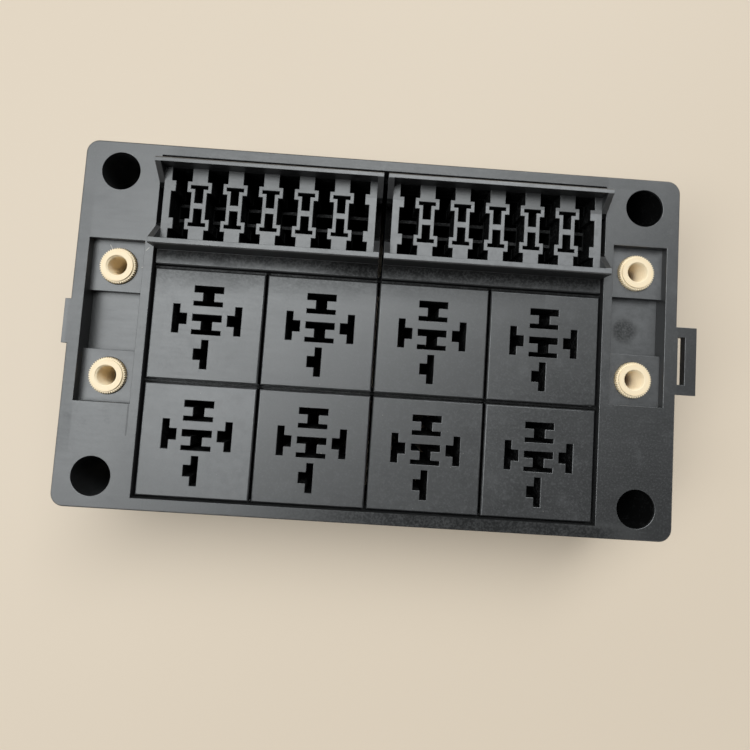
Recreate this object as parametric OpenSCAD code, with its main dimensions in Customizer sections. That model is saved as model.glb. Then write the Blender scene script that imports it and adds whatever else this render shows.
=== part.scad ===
// Modular fuse and relay box base: a moulded frame that carries two six-way blade-fuse modules,
// eight five-pin relay sockets and four brass inserts for two bolt-down strip fuses.
// Millimetres, +Z up. The origin is on the standing plane, at the centre of the four corner holes.

/* [Frame] */
// Height from the standing plane to the top of the flange
frame_h = 38; // [35:1:60]
// Thickness of the flange plate
flange_t = 3; // [2:0.5:5]
// Radius of the flange's corners
corner_r = 3.5; // [2:0.5:6]
// Chamfer along the flange's top edge
flange_c = 0.3; // [0.2:0.1:1]
// Step from the flange's edge in to the skirt below it
skirt_inset = 1.4; // [0.4:0.1:1.5]
// Wall of the skirt at the two short ends
skirt_t = 2; // [1.2:0.2:3]
// Width of the flange in front of the modules
front_lip = 3.25; // [2.4:0.05:8]
// Width of the flange behind the modules
back_lip = 2.95; // [2.4:0.05:8]
// Wall between the module well and the strip-fuse bays
well_wall = 2.5; // [1.5:0.1:5]
// Clearance between the well's side walls and the standing plane
well_foot = 6; // [2:1:12]

/* [Corner holes] */
// Diameter of the corner holes
hole_d = 10.4; // [5:0.2:10.6]
// Distance of a hole's axis from the flange's short edge
hole_in_x = 10; // [8.5:0.1:11]
// Distance of a hole's axis from the flange's long edge
hole_in_y = 8.3; // [8.2:0.1:11]
// Wall of the tube round each corner hole
tube_wall = 1.5; // [1:0.1:1.6]

/* [Module field] */
// Gap between modules in a row
col_gap = 0.75; // [0.4:0.05:2]
// Gap between rows of modules
row_gap = 1.15; // [0.9:0.05:3]
// Gap between the outer modules and the frame
field_gap = 0.6; // [0.3:0.05:1.5]
// Depth of the module tops below the flange
head_drop = 1.2; // [0.5:0.1:3]
// Thickness of a module's head, above the rails that carry it
head_t = 4; // [3:0.5:6]
// Overhang of a module's head over its body, front and back
seat_w = 1.4; // [1:0.1:2]
// Clearance between a module's body and the rails
rail_fit = 0.2; // [0.1:0.05:0.4]
// Height of the rails
rail_h = 12; // [6:1:16]
// Thickness of the rib on each cross rail, seen between the rows
rib_t = 0.6; // [0.4:0.05:0.8]
// Depth of that rib's top below the module heads
rib_drop = 1.4; // [0.8:0.1:2.5]
// Height of a module, from its head to its underside
module_h = 28; // [25:1:32]
// Chamfer along the modules' top edges
edge_c = 0.3; // [0.1:0.05:0.5]

/* [Snap lugs] */
// Length of a snap lug along the rail
lug_w = 8; // [4:1:16]
// Reach of a snap lug under the rail
lug_out = 0.8; // [0.4:0.1:1]
// Height of a snap lug's ramp
lug_h = 3; // [2:0.5:4]
// Gap between a snap lug and the rail above it
lug_gap = 0.15; // [0.05:0.05:0.4]

/* [Relay sockets] */
// Width of a relay socket
socket_w = 30; // [29:0.5:36]
// Depth of a relay socket
socket_d = 30; // [28:0.5:36]
// Distance between the two coil blades
coil_pitch = 16.8; // [16:0.1:18]
// Height of the coil blades' slots above the socket's centre
coil_y = 1.6; // [0:0.1:3]
// Height of the working contact's blade above the socket's centre
make_y = 9.9; // [9.4:0.1:10.4]
// Height of the resting contact's blade above the socket's centre
break_y = 2.05; // [1.6:0.05:2.6]
// Depth of the common contact's blade below the socket's centre
common_y = 7.9; // [7:0.1:8.4]
// Length of a blade slot
blade_len = 7.9; // [7:0.1:8.4]
// Width of a blade slot
blade_t = 1.85; // [1.2:0.05:2.2]
// Width of the lance channel beside a blade slot
lance_w = 3; // [2:0.1:3.6]
// Reach of the lance channel out of a side slot
lance_len = 2; // [1:0.1:2.4]
// Total height of a double slot
double_h = 5.5; // [5:0.1:6]
// Width of the second bar of a double slot
second_t = 1.25; // [0.8:0.05:1.6]
// Wall of the chamber round each terminal, under the head
chamber_t = 1.4; // [1:0.1:2]
// Outer wall of a socket's body
body_wall = 1.6; // [1:0.1:2.4]

/* [Fuse modules] */
// Gap between the two fuse modules
fuse_gap = 1.25; // [0.5:0.05:1.8]
// Depth of a fuse module
fuse_d = 29.4; // [29:0.1:36]
// Depth of the ledge in front of the front rim
ledge_d = 4; // [3:0.1:5]
// Thickness of the front rim
front_rim = 1.6; // [1.2:0.1:2]
// Thickness of the back rim
back_rim = 1.3; // [1:0.1:2]
// Depth of the ledge behind the back rim
rear_ledge = 2; // [1.5:0.1:2]
// Thickness of the end walls
end_wall = 1.6; // [1:0.1:1.8]
// Height of the rims above the flange
rim_rise = 5.7; // [4.4:0.1:8]
// Height of the pillar tops above the flange
pillar_rise = 1.7; // [0.5:0.1:3]
// Distance between fuses
fuse_pitch = 9.65; // [9.2:0.05:10]
// Width of a pillar at its ends and waist
pillar_w = 4.2; // [3.6:0.1:4.6]
// Width of a pillar across its shoulders
shoulder_w = 6.55; // [6.3:0.05:7.2]
// Length of a shoulder
shoulder_len = 3; // [2:0.1:4]
// Distance between the two shoulders of a pillar
shoulder_pitch = 10.3; // [9.4:0.1:11]
// Length of the bar of a T slot
tee_bar = 4.6; // [3.6:0.1:5]
// Width of the bar of a T slot
tee_bar_t = 0.95; // [0.6:0.05:1.4]
// Width of the stem of a T slot
tee_stem = 2.2; // [1.4:0.1:2.6]
// Thickness of the bridge between two T slots
tee_bridge = 1.6; // [1:0.1:2.4]
// Distance between the two cross ribs inside a fuse cavity
cross_pitch = 4.3; // [3.4:0.1:5]
// Thickness of those cross ribs
cross_t = 0.9; // [0.6:0.1:1.4]
// Depth of the cross ribs below the pillar tops
cross_drop = 8; // [5:0.5:12]
// Length of the slope on an end wall, from a rim to the notch
slope_len = 5.4; // [4:0.1:6.5]
// Depth of the notch in an end wall below the flange
notch_drop = 5; // [2:0.5:8]

/* [Strip-fuse bays] */
// Width of a bay
bay_w = 14.9; // [14.4:0.1:18]
// Distance between the two bolts of a strip fuse
strip_pitch = 30; // [28:0.5:36]
// Length of the pad round each insert
pad_len = 14.1; // [13:0.1:16]
// Depth of the pads below the flange
pad_drop = 2.5; // [1.5:0.1:4]
// Depth of the recess between the pads, below the flange
recess_drop = 5; // [4.5:0.1:8]
// Thickness of the floor under the recess
bay_floor = 2.5; // [1.5:0.1:4]
// Place of the left bay's centre along the box
left_bay_y = 0.3; // [-2:0.1:4]
// Place of the right bay's centre along the box
right_bay_y = 8.3; // [0:0.1:9]
// Thickness of the web at each end of a bay
web_t = 1.8; // [1.2:0.1:2.4]

/* [Inserts] */
// Diameter over an insert's knurl
insert_d = 10; // [8:0.1:10.2]
// Step from the knurl in to the plain collar at the insert's top
collar_step = 0.7; // [0.55:0.05:1]
// Diameter of the thread bore
insert_bore = 5.2; // [4:0.1:5.6]
// Length of an insert
insert_len = 12; // [9:0.5:16]
// Height of an insert above its pad
insert_proud = 1.4; // [0.8:0.1:2.4]
// Height of the plain collar
collar_h = 0.5; // [0.2:0.1:0.8]
// Depth of the countersink at the bore's mouth
sink = 0.3; // [0.1:0.1:1]
// Length of the plain groove between the two knurled bands
groove_len = 1.6; // [1:0.2:3]
// Depth of the knurl
knurl_depth = 0.45; // [0.2:0.05:0.5]
// Number of knurl teeth
knurl_teeth = 48; // [24:2:60]
// Clearance between an insert and its boss
insert_fit = 0.05; // [0.02:0.01:0.2]
// Wall of the boss round an insert
boss_wall = 2.2; // [1.5:0.1:2.4]
// Floor of the boss under an insert
boss_floor = 2; // [1:0.5:4]

/* [Cover latch] */
// Place of the latch loop and the tongue along the box
latch_y = -0.7; // [-10:0.1:10]
// Thickness of the loop and the tongue
latch_t = 2.4; // [1.5:0.1:3]
// Reach of the loop past the flange
loop_out = 5.5; // [4.8:0.1:8]
// Length of the loop
loop_len = 18.6; // [17:0.1:30]
// Length of the loop's slot
slot_len = 13; // [8:0.1:14]
// Width of the loop's slot
slot_w = 2; // [1:0.1:2.4]
// Strip of the loop between the flange and the slot
loop_web = 0.3; // [0.2:0.1:1.6]
// Reach of the tongue past the flange
tongue_out = 1.4; // [1:0.1:4]
// Length of the tongue
tongue_len = 12; // [6:0.1:20]

/* [Hidden] */
$fn = 48;
columns = 4;
rows = 2;
fuse_ways = 6;
relay_names = [for (i = [1 : columns * rows]) str("relay_socket_", i)];
insert_names = ["insert_left_rear", "insert_left_front", "insert_right_rear", "insert_right_front"];

plastic = "#29292c";
brass = "#d8b675";
// Overlap that carries a cut clear through a face
past = 1;
// Depth to which an added form runs into the wall that it grows from
root = 0.5;

// Plan of the module field, from the front lip backwards
opening_w = columns * socket_w + (columns - 1) * col_gap + 2 * field_gap;
flange_w = opening_w + 2 * (well_wall + bay_w + skirt_t + skirt_inset);
flange_d = front_lip + back_lip + 2 * field_gap + rows * (socket_d + row_gap) + fuse_d;
open_front = front_lip - flange_d / 2;
open_back = flange_d / 2 - back_lip;
front_row_y = open_front + field_gap + socket_d / 2;
row_pitch = socket_d + row_gap;
col_pitch = socket_w + col_gap;
fuse_front = front_row_y + rows * row_pitch - socket_d / 2;
fuse_back = fuse_front + fuse_d;
fuse_len = 2 * socket_w + col_gap;
fuse_x = (fuse_len + fuse_gap) / 2;

// Levels
head_top = frame_h - head_drop;
seat_z = head_top - head_t;
rail_foot = seat_z - rail_h;
module_foot = head_top - module_h;
rim_z = frame_h + rim_rise;
pillar_z = frame_h + pillar_rise;
cross_z = pillar_z - cross_drop;
pad_z = frame_h - pad_drop;
recess_z = frame_h - recess_drop;
insert_top = pad_z + insert_proud;
insert_foot = insert_top - insert_len;
flange_foot = frame_h - flange_t;

// Widths of the rails, from the overhang that sits on them
seat_on_rail = seat_w - rail_fit;
rail_t = row_gap + 2 * seat_on_rail;
edge_rail_t = field_gap + seat_on_rail;

// Fuse module's inside
rim_front = fuse_front + ledge_d;
comb_front = rim_front + front_rim;
rim_back = fuse_back - rear_ledge;
comb_back = rim_back - back_rim;
comb_d = comb_back - comb_front;
comb_y = (comb_front + comb_back) / 2;

// Bays and corner holes
bay_in_x = opening_w / 2 + well_wall;
bay_out_x = bay_in_x + bay_w;
bay_len = strip_pitch + pad_len;
insert_x = (bay_in_x + bay_out_x) / 2;
boss_r = insert_d / 2 + boss_wall;
hole_x = flange_w / 2 - hole_in_x;
hole_y = flange_d / 2 - hole_in_y;

// Places of the repeated pieces
function socket_place(i) =
    let (column = i % columns, row = rows - 1 - floor(i / columns))
        [(column - (columns - 1) / 2) * col_pitch, front_row_y + row * row_pitch, 0];
insert_places = [
    [-insert_x, left_bay_y + strip_pitch / 2, 0],
    [-insert_x, left_bay_y - strip_pitch / 2, 0],
    [insert_x, right_bay_y + strip_pitch / 2, 0],
    [insert_x, right_bay_y - strip_pitch / 2, 0],
];

// Box between two corners
module block(low, high) {
    translate(low) cube(high - low);
}

// Profile drawn in Y and Z, carried along X from one place to another
module along_x(from, to) {
    translate([from, 0, 0])
        rotate([90, 0, 90])
            linear_extrude(to - from)
                children();
}

// Profile drawn in X and Z, carried along Y from one place to another
module along_y(from, to) {
    translate([0, to, 0])
        rotate([90, 0, 0])
            linear_extrude(to - from)
                children();
}

// Upright rectangle whose two top corners are chamfered
module chamfered_profile(low, high, c) {
    polygon([
        [low.x, low.y],
        [high.x, low.y],
        [high.x, high.y - c],
        [high.x - c, high.y],
        [low.x + c, high.y],
        [low.x, high.y - c],
    ]);
}

// Rectangle with round corners, centred on the origin
module rounded_outline(w, d, r) {
    square([w - 2 * r, d], center = true);
    square([w, d - 2 * r], center = true);
    for (sx = [-1, 1], sy = [-1, 1])
        translate([sx * (w / 2 - r), sy * (d / 2 - r)])
            circle(r);
}

// Plate with round corners and a chamfered top edge, centred on the origin
module rounded_plate(w, d, low, high, r, c) {
    along_y(r - d / 2, d / 2 - r)
        chamfered_profile([-w / 2, low], [w / 2, high], c);
    along_x(r - w / 2, w / 2 - r)
        chamfered_profile([-d / 2, low], [d / 2, high], c);
    for (sx = [-1, 1], sy = [-1, 1])
        translate([sx * (w / 2 - r), sy * (d / 2 - r), low]) {
            cylinder(h = high - low - c, r = r);
            translate([0, 0, high - low - c])
                cylinder(h = c, r1 = r, r2 = r - c);
        }
}

// Base frame

// Flange and skirt, still solid over the module field
module frame_shell() {
    rounded_plate(flange_w, flange_d, flange_foot, frame_h, corner_r, flange_c);
    skirt_w = flange_w - 2 * skirt_inset;
    skirt_d = flange_d - 2 * skirt_inset;
    difference() {
        linear_extrude(flange_foot + root)
            rounded_outline(skirt_w, skirt_d, corner_r - skirt_inset);
        block([-bay_out_x, open_front, -past], [bay_out_x, open_back, flange_foot]);
    }
    for (side = [0, 1])
        mirror([side, 0, 0])
            block(
                [opening_w / 2, open_front - root, well_foot],
                [bay_in_x, open_back + root, flange_foot + root]
            );
}

// Thick floor of a bay, its end webs and the bosses under its pads
module bay_underside(centre_y) {
    low_y = centre_y - bay_len / 2;
    high_y = centre_y + bay_len / 2;
    in_x = bay_in_x - root;
    out_x = bay_out_x + root;
    floor_z = recess_z - bay_floor;
    boss_foot = insert_foot - boss_floor;
    block([in_x, low_y - web_t, floor_z], [out_x, high_y + web_t, flange_foot + root]);
    for (y = [low_y - web_t, high_y])
        block([in_x, y, well_foot], [out_x, y + web_t, floor_z + root]);
    for (end = [-1, 1])
        translate([insert_x, centre_y + end * strip_pitch / 2, boss_foot])
            cylinder(h = floor_z + root - boss_foot, r = boss_r);
}

// Hollow of a bay, with its deep recess and the pockets for the inserts
module bay_hollow(centre_y) {
    block([bay_in_x, centre_y - bay_len / 2, pad_z], [bay_out_x, centre_y + bay_len / 2, frame_h + past]);
    recess_half = (strip_pitch - pad_len) / 2;
    block([bay_in_x, centre_y - recess_half, recess_z], [bay_out_x, centre_y + recess_half, frame_h + past]);
    for (end = [-1, 1])
        translate([insert_x, centre_y + end * strip_pitch / 2, insert_foot])
            cylinder(h = insert_len, r = insert_d / 2 + insert_fit);
}

// Rails that carry the modules: one between each two rows, and one along the front and the back
module rails() {
    half = opening_w / 2 + root;
    for (k = [1 : rows]) {
        y = front_row_y + (k - 0.5) * row_pitch;
        block([-half, y - rail_t / 2, rail_foot], [half, y + rail_t / 2, seat_z]);
        block([-half, y - rib_t / 2, rail_foot], [half, y + rib_t / 2, head_top - rib_drop]);
    }
    block([-half, open_front - root, rail_foot], [half, open_front + edge_rail_t, seat_z]);
    block([-half, open_back - edge_rail_t, rail_foot], [half, open_back + root, seat_z]);
}

// Loop at the right end and tongue at the left end that a cover's latch takes hold of
module cover_latch() {
    edge = flange_w / 2;
    low_z = frame_h - latch_t;
    high_z = frame_h;
    slot_x = edge + loop_web;
    difference() {
        block(
            [edge - past, latch_y - loop_len / 2, low_z],
            [edge + loop_out, latch_y + loop_len / 2, high_z]
        );
        block(
            [slot_x, latch_y - slot_len / 2, low_z - past],
            [slot_x + slot_w, latch_y + slot_len / 2, high_z + past]
        );
    }
    block(
        [-edge - tongue_out, latch_y - tongue_len / 2, low_z],
        [past - edge, latch_y + tongue_len / 2, high_z]
    );
}

module base_frame() {
    color(plastic) difference() {
        union() {
            difference() {
                union() {
                    frame_shell();
                    bay_underside(right_bay_y);
                    mirror([1, 0, 0]) bay_underside(left_bay_y);
                    for (sx = [-1, 1], sy = [-1, 1])
                        translate([sx * hole_x, sy * hole_y, 0])
                            cylinder(h = flange_foot + root, r = hole_d / 2 + tube_wall);
                }
                block([-opening_w / 2, open_front, -past], [opening_w / 2, open_back, frame_h + past]);
            }
            rails();
            cover_latch();
        }
        bay_hollow(right_bay_y);
        mirror([1, 0, 0]) bay_hollow(left_bay_y);
        for (sx = [-1, 1], sy = [-1, 1])
            translate([sx * hole_x, sy * hole_y, -past])
                cylinder(h = frame_h + 2 * past, r = hole_d / 2);
    }
}

// Modules

// Snap lug that hooks under the rail, on the front face of a body at y = 0
module snap_lug() {
    top_z = rail_foot - lug_gap;
    along_x(-lug_w / 2, lug_w / 2)
        polygon([[root, top_z], [-lug_out, top_z], [0, top_z - lug_h], [root, top_z - lug_h]]);
}

// Lugs on the front and the back of a body
module snap_lugs(front_y, back_y) {
    translate([0, front_y, 0]) snap_lug();
    translate([0, back_y, 0]) mirror([0, 1, 0]) snap_lug();
}

// Flat rectangle between two corners
module patch(low, high) {
    translate(low) square(high - low);
}

// Slot for one upright blade, with its lance channel to the right
module side_slot() {
    patch([-blade_t, -blade_len] / 2, [blade_t, blade_len] / 2);
    patch([0, -lance_w / 2], [blade_t / 2 + lance_len, lance_w / 2]);
}

// Chamber round such a slot, for the terminal that comes in from below
module side_chamber() {
    wall = [chamber_t, chamber_t];
    patch([-blade_t, -blade_len] / 2 - wall, [blade_t / 2 + lance_len, blade_len / 2] + wall);
}

// Slot for one blade that lies across, with a lance channel to a second bar below it
module double_slot() {
    low = blade_t / 2 - double_h;
    patch([-blade_len, -blade_t] / 2, [blade_len, blade_t] / 2);
    patch([-lance_w / 2, low], [lance_w / 2, 0]);
    patch([-blade_len / 2, low], [blade_len / 2, low + second_t]);
}

// Chamber round a double slot
module double_chamber() {
    wall = [chamber_t, chamber_t];
    patch([-blade_len / 2, blade_t / 2 - double_h] - wall, [blade_len, blade_t] / 2 + wall);
}

// Places of a socket's five blades: the first child goes to the three upright ones, the second to the others
module at_blades() {
    for (y = [make_y, break_y])
        translate([0, y]) children(1);
    translate([-coil_pitch / 2, coil_y]) children(0);
    translate([coil_pitch / 2, coil_y]) mirror([1, 0]) children(0);
    translate([0, -common_y]) mirror([1, 0]) children(0);
}

// Body under a socket's head: four outer walls, and the terminal chambers
module socket_body(half_w, half_d) {
    difference() {
        block([-half_w, -half_d, module_foot], [half_w, half_d, seat_z + root]);
        block([body_wall - half_w, body_wall - half_d, module_foot - past],
              [half_w - body_wall, half_d - body_wall, seat_z]);
    }
    translate([0, 0, module_foot])
        linear_extrude(seat_z + root - module_foot)
            intersection() {
                at_blades() {
                    side_chamber();
                    double_chamber();
                }
                square(2 * [half_w, half_d], center = true);
            }
}

// One relay socket, centred on its own slots
module relay_socket() {
    half_w = socket_w / 2;
    half_d = socket_d / 2;
    body_half = half_d - seat_w;
    color(plastic) difference() {
        union() {
            intersection() {
                along_y(-half_d, half_d)
                    chamfered_profile([-half_w, seat_z], [half_w, head_top], edge_c);
                along_x(-half_w, half_w)
                    chamfered_profile([-half_d, seat_z], [half_d, head_top], edge_c);
            }
            socket_body(half_w, body_half);
            snap_lugs(-body_half, body_half);
        }
        translate([0, 0, module_foot - past])
            linear_extrude(module_h + 2 * past)
                at_blades() {
                    side_slot();
                    double_slot();
                }
    }
}

// Side view of a fuse module: body, head with its two ledges, and the block between the rims
module fuse_profile() {
    polygon([
        [fuse_front + seat_w, module_foot],
        [fuse_front + seat_w, seat_z],
        [fuse_front, seat_z],
        [fuse_front, head_top - edge_c],
        [fuse_front + edge_c, head_top],
        [rim_front, head_top],
        [rim_front, rim_z - edge_c],
        [rim_front + edge_c, rim_z],
        [rim_back - edge_c, rim_z],
        [rim_back, rim_z - edge_c],
        [rim_back, head_top],
        [fuse_back - edge_c, head_top],
        [fuse_back, head_top - edge_c],
        [fuse_back, seat_z],
        [fuse_back - seat_w, seat_z],
        [fuse_back - seat_w, module_foot],
    ]);
}

// Part of an end wall that is cut away: a slope down from each rim, and the notch between them
module end_cut() {
    polygon([
        [comb_front, rim_z + past],
        [comb_front, rim_z],
        [comb_front + slope_len, frame_h],
        [comb_front + slope_len, frame_h - notch_drop],
        [comb_back - slope_len, frame_h - notch_drop],
        [comb_back - slope_len, frame_h],
        [comb_back, rim_z],
        [comb_back, rim_z + past],
    ]);
}

// Fuse cavity between two pillars: wide at its ends and middle, narrow between the shoulders
module cavity() {
    neck = fuse_pitch - shoulder_w;
    wide = fuse_pitch - pillar_w;
    middle = shoulder_pitch - shoulder_len;
    end_len = (comb_d - shoulder_pitch - shoulder_len) / 2;
    square([neck, comb_d], center = true);
    square([wide, middle], center = true);
    for (end = [-1, 1])
        translate([0, end * (comb_d - end_len) / 2])
            square([wide, end_len], center = true);
}

// The two ribs that cross each cavity low down
module cross_ribs() {
    for (end = [-1, 1])
        translate([0, end * cross_pitch / 2])
            square([fuse_pitch, cross_t], center = true);
}

// Pair of T slots in a pillar, back to back across the bridge
module pillar_slots() {
    for (end = [0, 1])
        mirror([0, end]) {
            translate([-tee_stem / 2, tee_bridge / 2])
                square([tee_stem, (shoulder_pitch - tee_bridge) / 2]);
            translate([0, shoulder_pitch / 2])
                square([tee_bar, tee_bar_t], center = true);
        }
}

// One fuse module, at its place along the box and centred across it
module fuse_module() {
    half = fuse_len / 2;
    low_z = module_foot - past;
    color(plastic) difference() {
        union() {
            along_x(-half, half) fuse_profile();
            snap_lugs(fuse_front + seat_w, fuse_back - seat_w);
        }
        block([end_wall - half, comb_front, pillar_z], [half - end_wall, comb_back, rim_z + past]);
        for (side = [0, 1])
            mirror([side, 0, 0])
                along_x(half - end_wall, half + past) end_cut();
        for (k = [1 : fuse_ways])
            translate([(k - (fuse_ways + 1) / 2) * fuse_pitch, comb_y, 0]) {
                translate([0, 0, cross_z])
                    linear_extrude(rim_z - cross_z) cavity();
                translate([0, 0, low_z])
                    linear_extrude(rim_z - low_z)
                        difference() {
                            cavity();
                            cross_ribs();
                        }
            }
        for (k = [1 : fuse_ways - 1])
            translate([(k - fuse_ways / 2) * fuse_pitch, comb_y, low_z])
                linear_extrude(rim_z - low_z) pillar_slots();
    }
}

// Inserts

function knurl_outline() = [
    for (i = [0 : 2 * knurl_teeth - 1])
        let (r = insert_d / 2 - (i % 2) * knurl_depth, a = 180 * i / knurl_teeth)
            [r * cos(a), r * sin(a)]
];

// Knurled insert with a plain collar, a groove at mid length and a countersunk thread bore
module insert() {
    band_top = insert_len - collar_h;
    band_len = (band_top - groove_len) / 2;
    color(brass) translate([0, 0, insert_foot])
        difference() {
            union() {
                cylinder(h = insert_len, r = insert_d / 2 - collar_step);
                for (low = [0, band_top - band_len])
                    translate([0, 0, low])
                        linear_extrude(band_len) polygon(knurl_outline());
            }
            translate([0, 0, -past])
                cylinder(h = insert_len + 2 * past, r = insert_bore / 2);
            translate([0, 0, insert_len - sink])
                cylinder(h = sink + past, r1 = insert_bore / 2, r2 = insert_bore / 2 + sink + past);
        }
}

base_frame();
translate([-fuse_x, 0, 0]) fuse_module();  // fuse_module_left
translate([fuse_x, 0, 0]) fuse_module();  // fuse_module_right
for (i = [0 : columns * rows - 1])
    translate(socket_place(i)) relay_socket();
for (i = [0 : len(insert_names) - 1])
    translate(insert_places[i]) insert();
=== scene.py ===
"""Looks of a moulded fuse and relay box: satin charcoal plastic with knurled brass inserts.

Everything is in metres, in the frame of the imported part: +Z up, the standing plane at z = 0, and the
origin midway between the four corner holes. Angles are in degrees where nothing else is said.
"""

import logging
import math
from collections.abc import Iterable
from dataclasses import dataclass, field, replace
from enum import Enum
from typing import Any

import bmesh
import bpy
from mathutils import Matrix, Vector


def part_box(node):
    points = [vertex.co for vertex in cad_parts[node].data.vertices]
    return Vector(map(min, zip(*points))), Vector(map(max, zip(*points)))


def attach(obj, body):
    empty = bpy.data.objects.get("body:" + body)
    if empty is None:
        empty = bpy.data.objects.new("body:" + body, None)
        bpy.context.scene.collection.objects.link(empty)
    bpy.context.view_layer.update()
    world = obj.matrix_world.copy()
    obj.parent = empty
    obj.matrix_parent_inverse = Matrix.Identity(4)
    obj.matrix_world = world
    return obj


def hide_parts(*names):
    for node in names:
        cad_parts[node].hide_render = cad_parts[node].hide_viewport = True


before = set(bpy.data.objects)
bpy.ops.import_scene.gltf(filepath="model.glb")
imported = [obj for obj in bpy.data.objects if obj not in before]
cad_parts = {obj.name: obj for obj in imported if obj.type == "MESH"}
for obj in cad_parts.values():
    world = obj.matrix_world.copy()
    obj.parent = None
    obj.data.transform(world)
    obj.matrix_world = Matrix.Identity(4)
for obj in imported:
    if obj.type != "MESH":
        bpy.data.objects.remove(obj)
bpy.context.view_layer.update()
LOG = logging.getLogger("fuse_box")

Colour = tuple[float, float, float]
Point = tuple[float, float, float]
Span = tuple[float, float]
Socket = bpy.types.NodeSocket

BODY = "root"
RUBBED = "rubbed"
LATHE = "lathe"

# How meshes are joined, eased and shaded
WELD = 1e-6
FLAT_WITHIN = 0.5
SHARP_FROM = 28.0
SMOOTH_TO = 18.0

# Sizes of the part: levels of its upward faces, the grid of its sockets and spans of its well and modules
FLANGE_TOP = 0.038
PAD_TOP = 0.0355
BAY_FLOOR = 0.033
SOCKET_PITCH = 0.03075
SOCKET_COUNT = 8
WELL_X: Span = (-0.0617, 0.0617)
LEFT_MODULE_X: Span = (-0.0614, -0.0006)
RIGHT_MODULE_X: Span = (0.0006, 0.0614)

# Edges of masks: the normal's rise that counts as facing up, and shares of a line, a speck and its chance
FACING_UP: Span = (0.6, 0.95)
LINE_EDGE: Span = (0.6, 0.3)
SPECK_EDGE = 0.5
CHANCE_EDGE = 0.8
PATCH_FADE = 0.0002

# Amount of grime and painted shade at which its black matt sheet of painted shade hides the plastic even
# where the amount is thin
PITCH_BLACK = 3.0

# Pits of a mould's grain: their width in pebbles and their share of the relief
PIT_WIDTH = 4.0
PIT_SHARE = 0.3


class Signal:
    """Value socket in a node tree, on which Python's operators act by adding Math nodes."""

    def __init__(self, graph: "Graph", socket: Socket) -> None:
        """Wraps one output socket of the graph."""
        self.graph = graph
        self.socket = socket

    def __add__(self, other: "Signal | float") -> "Signal":
        """Sum of two values."""
        return self.graph.math("ADD", self, other)

    def __radd__(self, other: float) -> "Signal":
        """Sum with a number on the left."""
        return self.graph.math("ADD", other, self)

    def __sub__(self, other: "Signal | float") -> "Signal":
        """Difference of two values."""
        return self.graph.math("SUBTRACT", self, other)

    def __rsub__(self, other: float) -> "Signal":
        """Difference from a number on the left."""
        return self.graph.math("SUBTRACT", other, self)

    def __mul__(self, other: "Signal | float") -> "Signal":
        """Product of two values."""
        return self.graph.math("MULTIPLY", self, other)

    def __rmul__(self, other: float) -> "Signal":
        """Product with a number on the left."""
        return self.graph.math("MULTIPLY", other, self)

    def step(self, low: float, high: float) -> "Signal":
        """Smooth step from 0 to 1.

        Args:
            low: Value at which the step starts.
            high: Value at which the step ends.

        Returns:
            The step, which runs down where high is below low.
        """
        down = high < low
        node = self.graph.add(
            "ShaderNodeMapRange",
            {"interpolation_type": "SMOOTHSTEP"},
            {"Value": self, "From Min": min(low, high), "From Max": max(low, high),
             "To Min": float(down), "To Max": float(not down)},
        )
        return Signal(self.graph, node.outputs["Result"])

    def swing(self, width: float) -> "Signal":
        """Noise turned into a swing of that width about zero."""
        return (self - 0.5) * width

    def between(self, low: float, high: float) -> "Signal":
        """Mask turned into a value that goes from low to high."""
        return self * (high - low) + low


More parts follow.
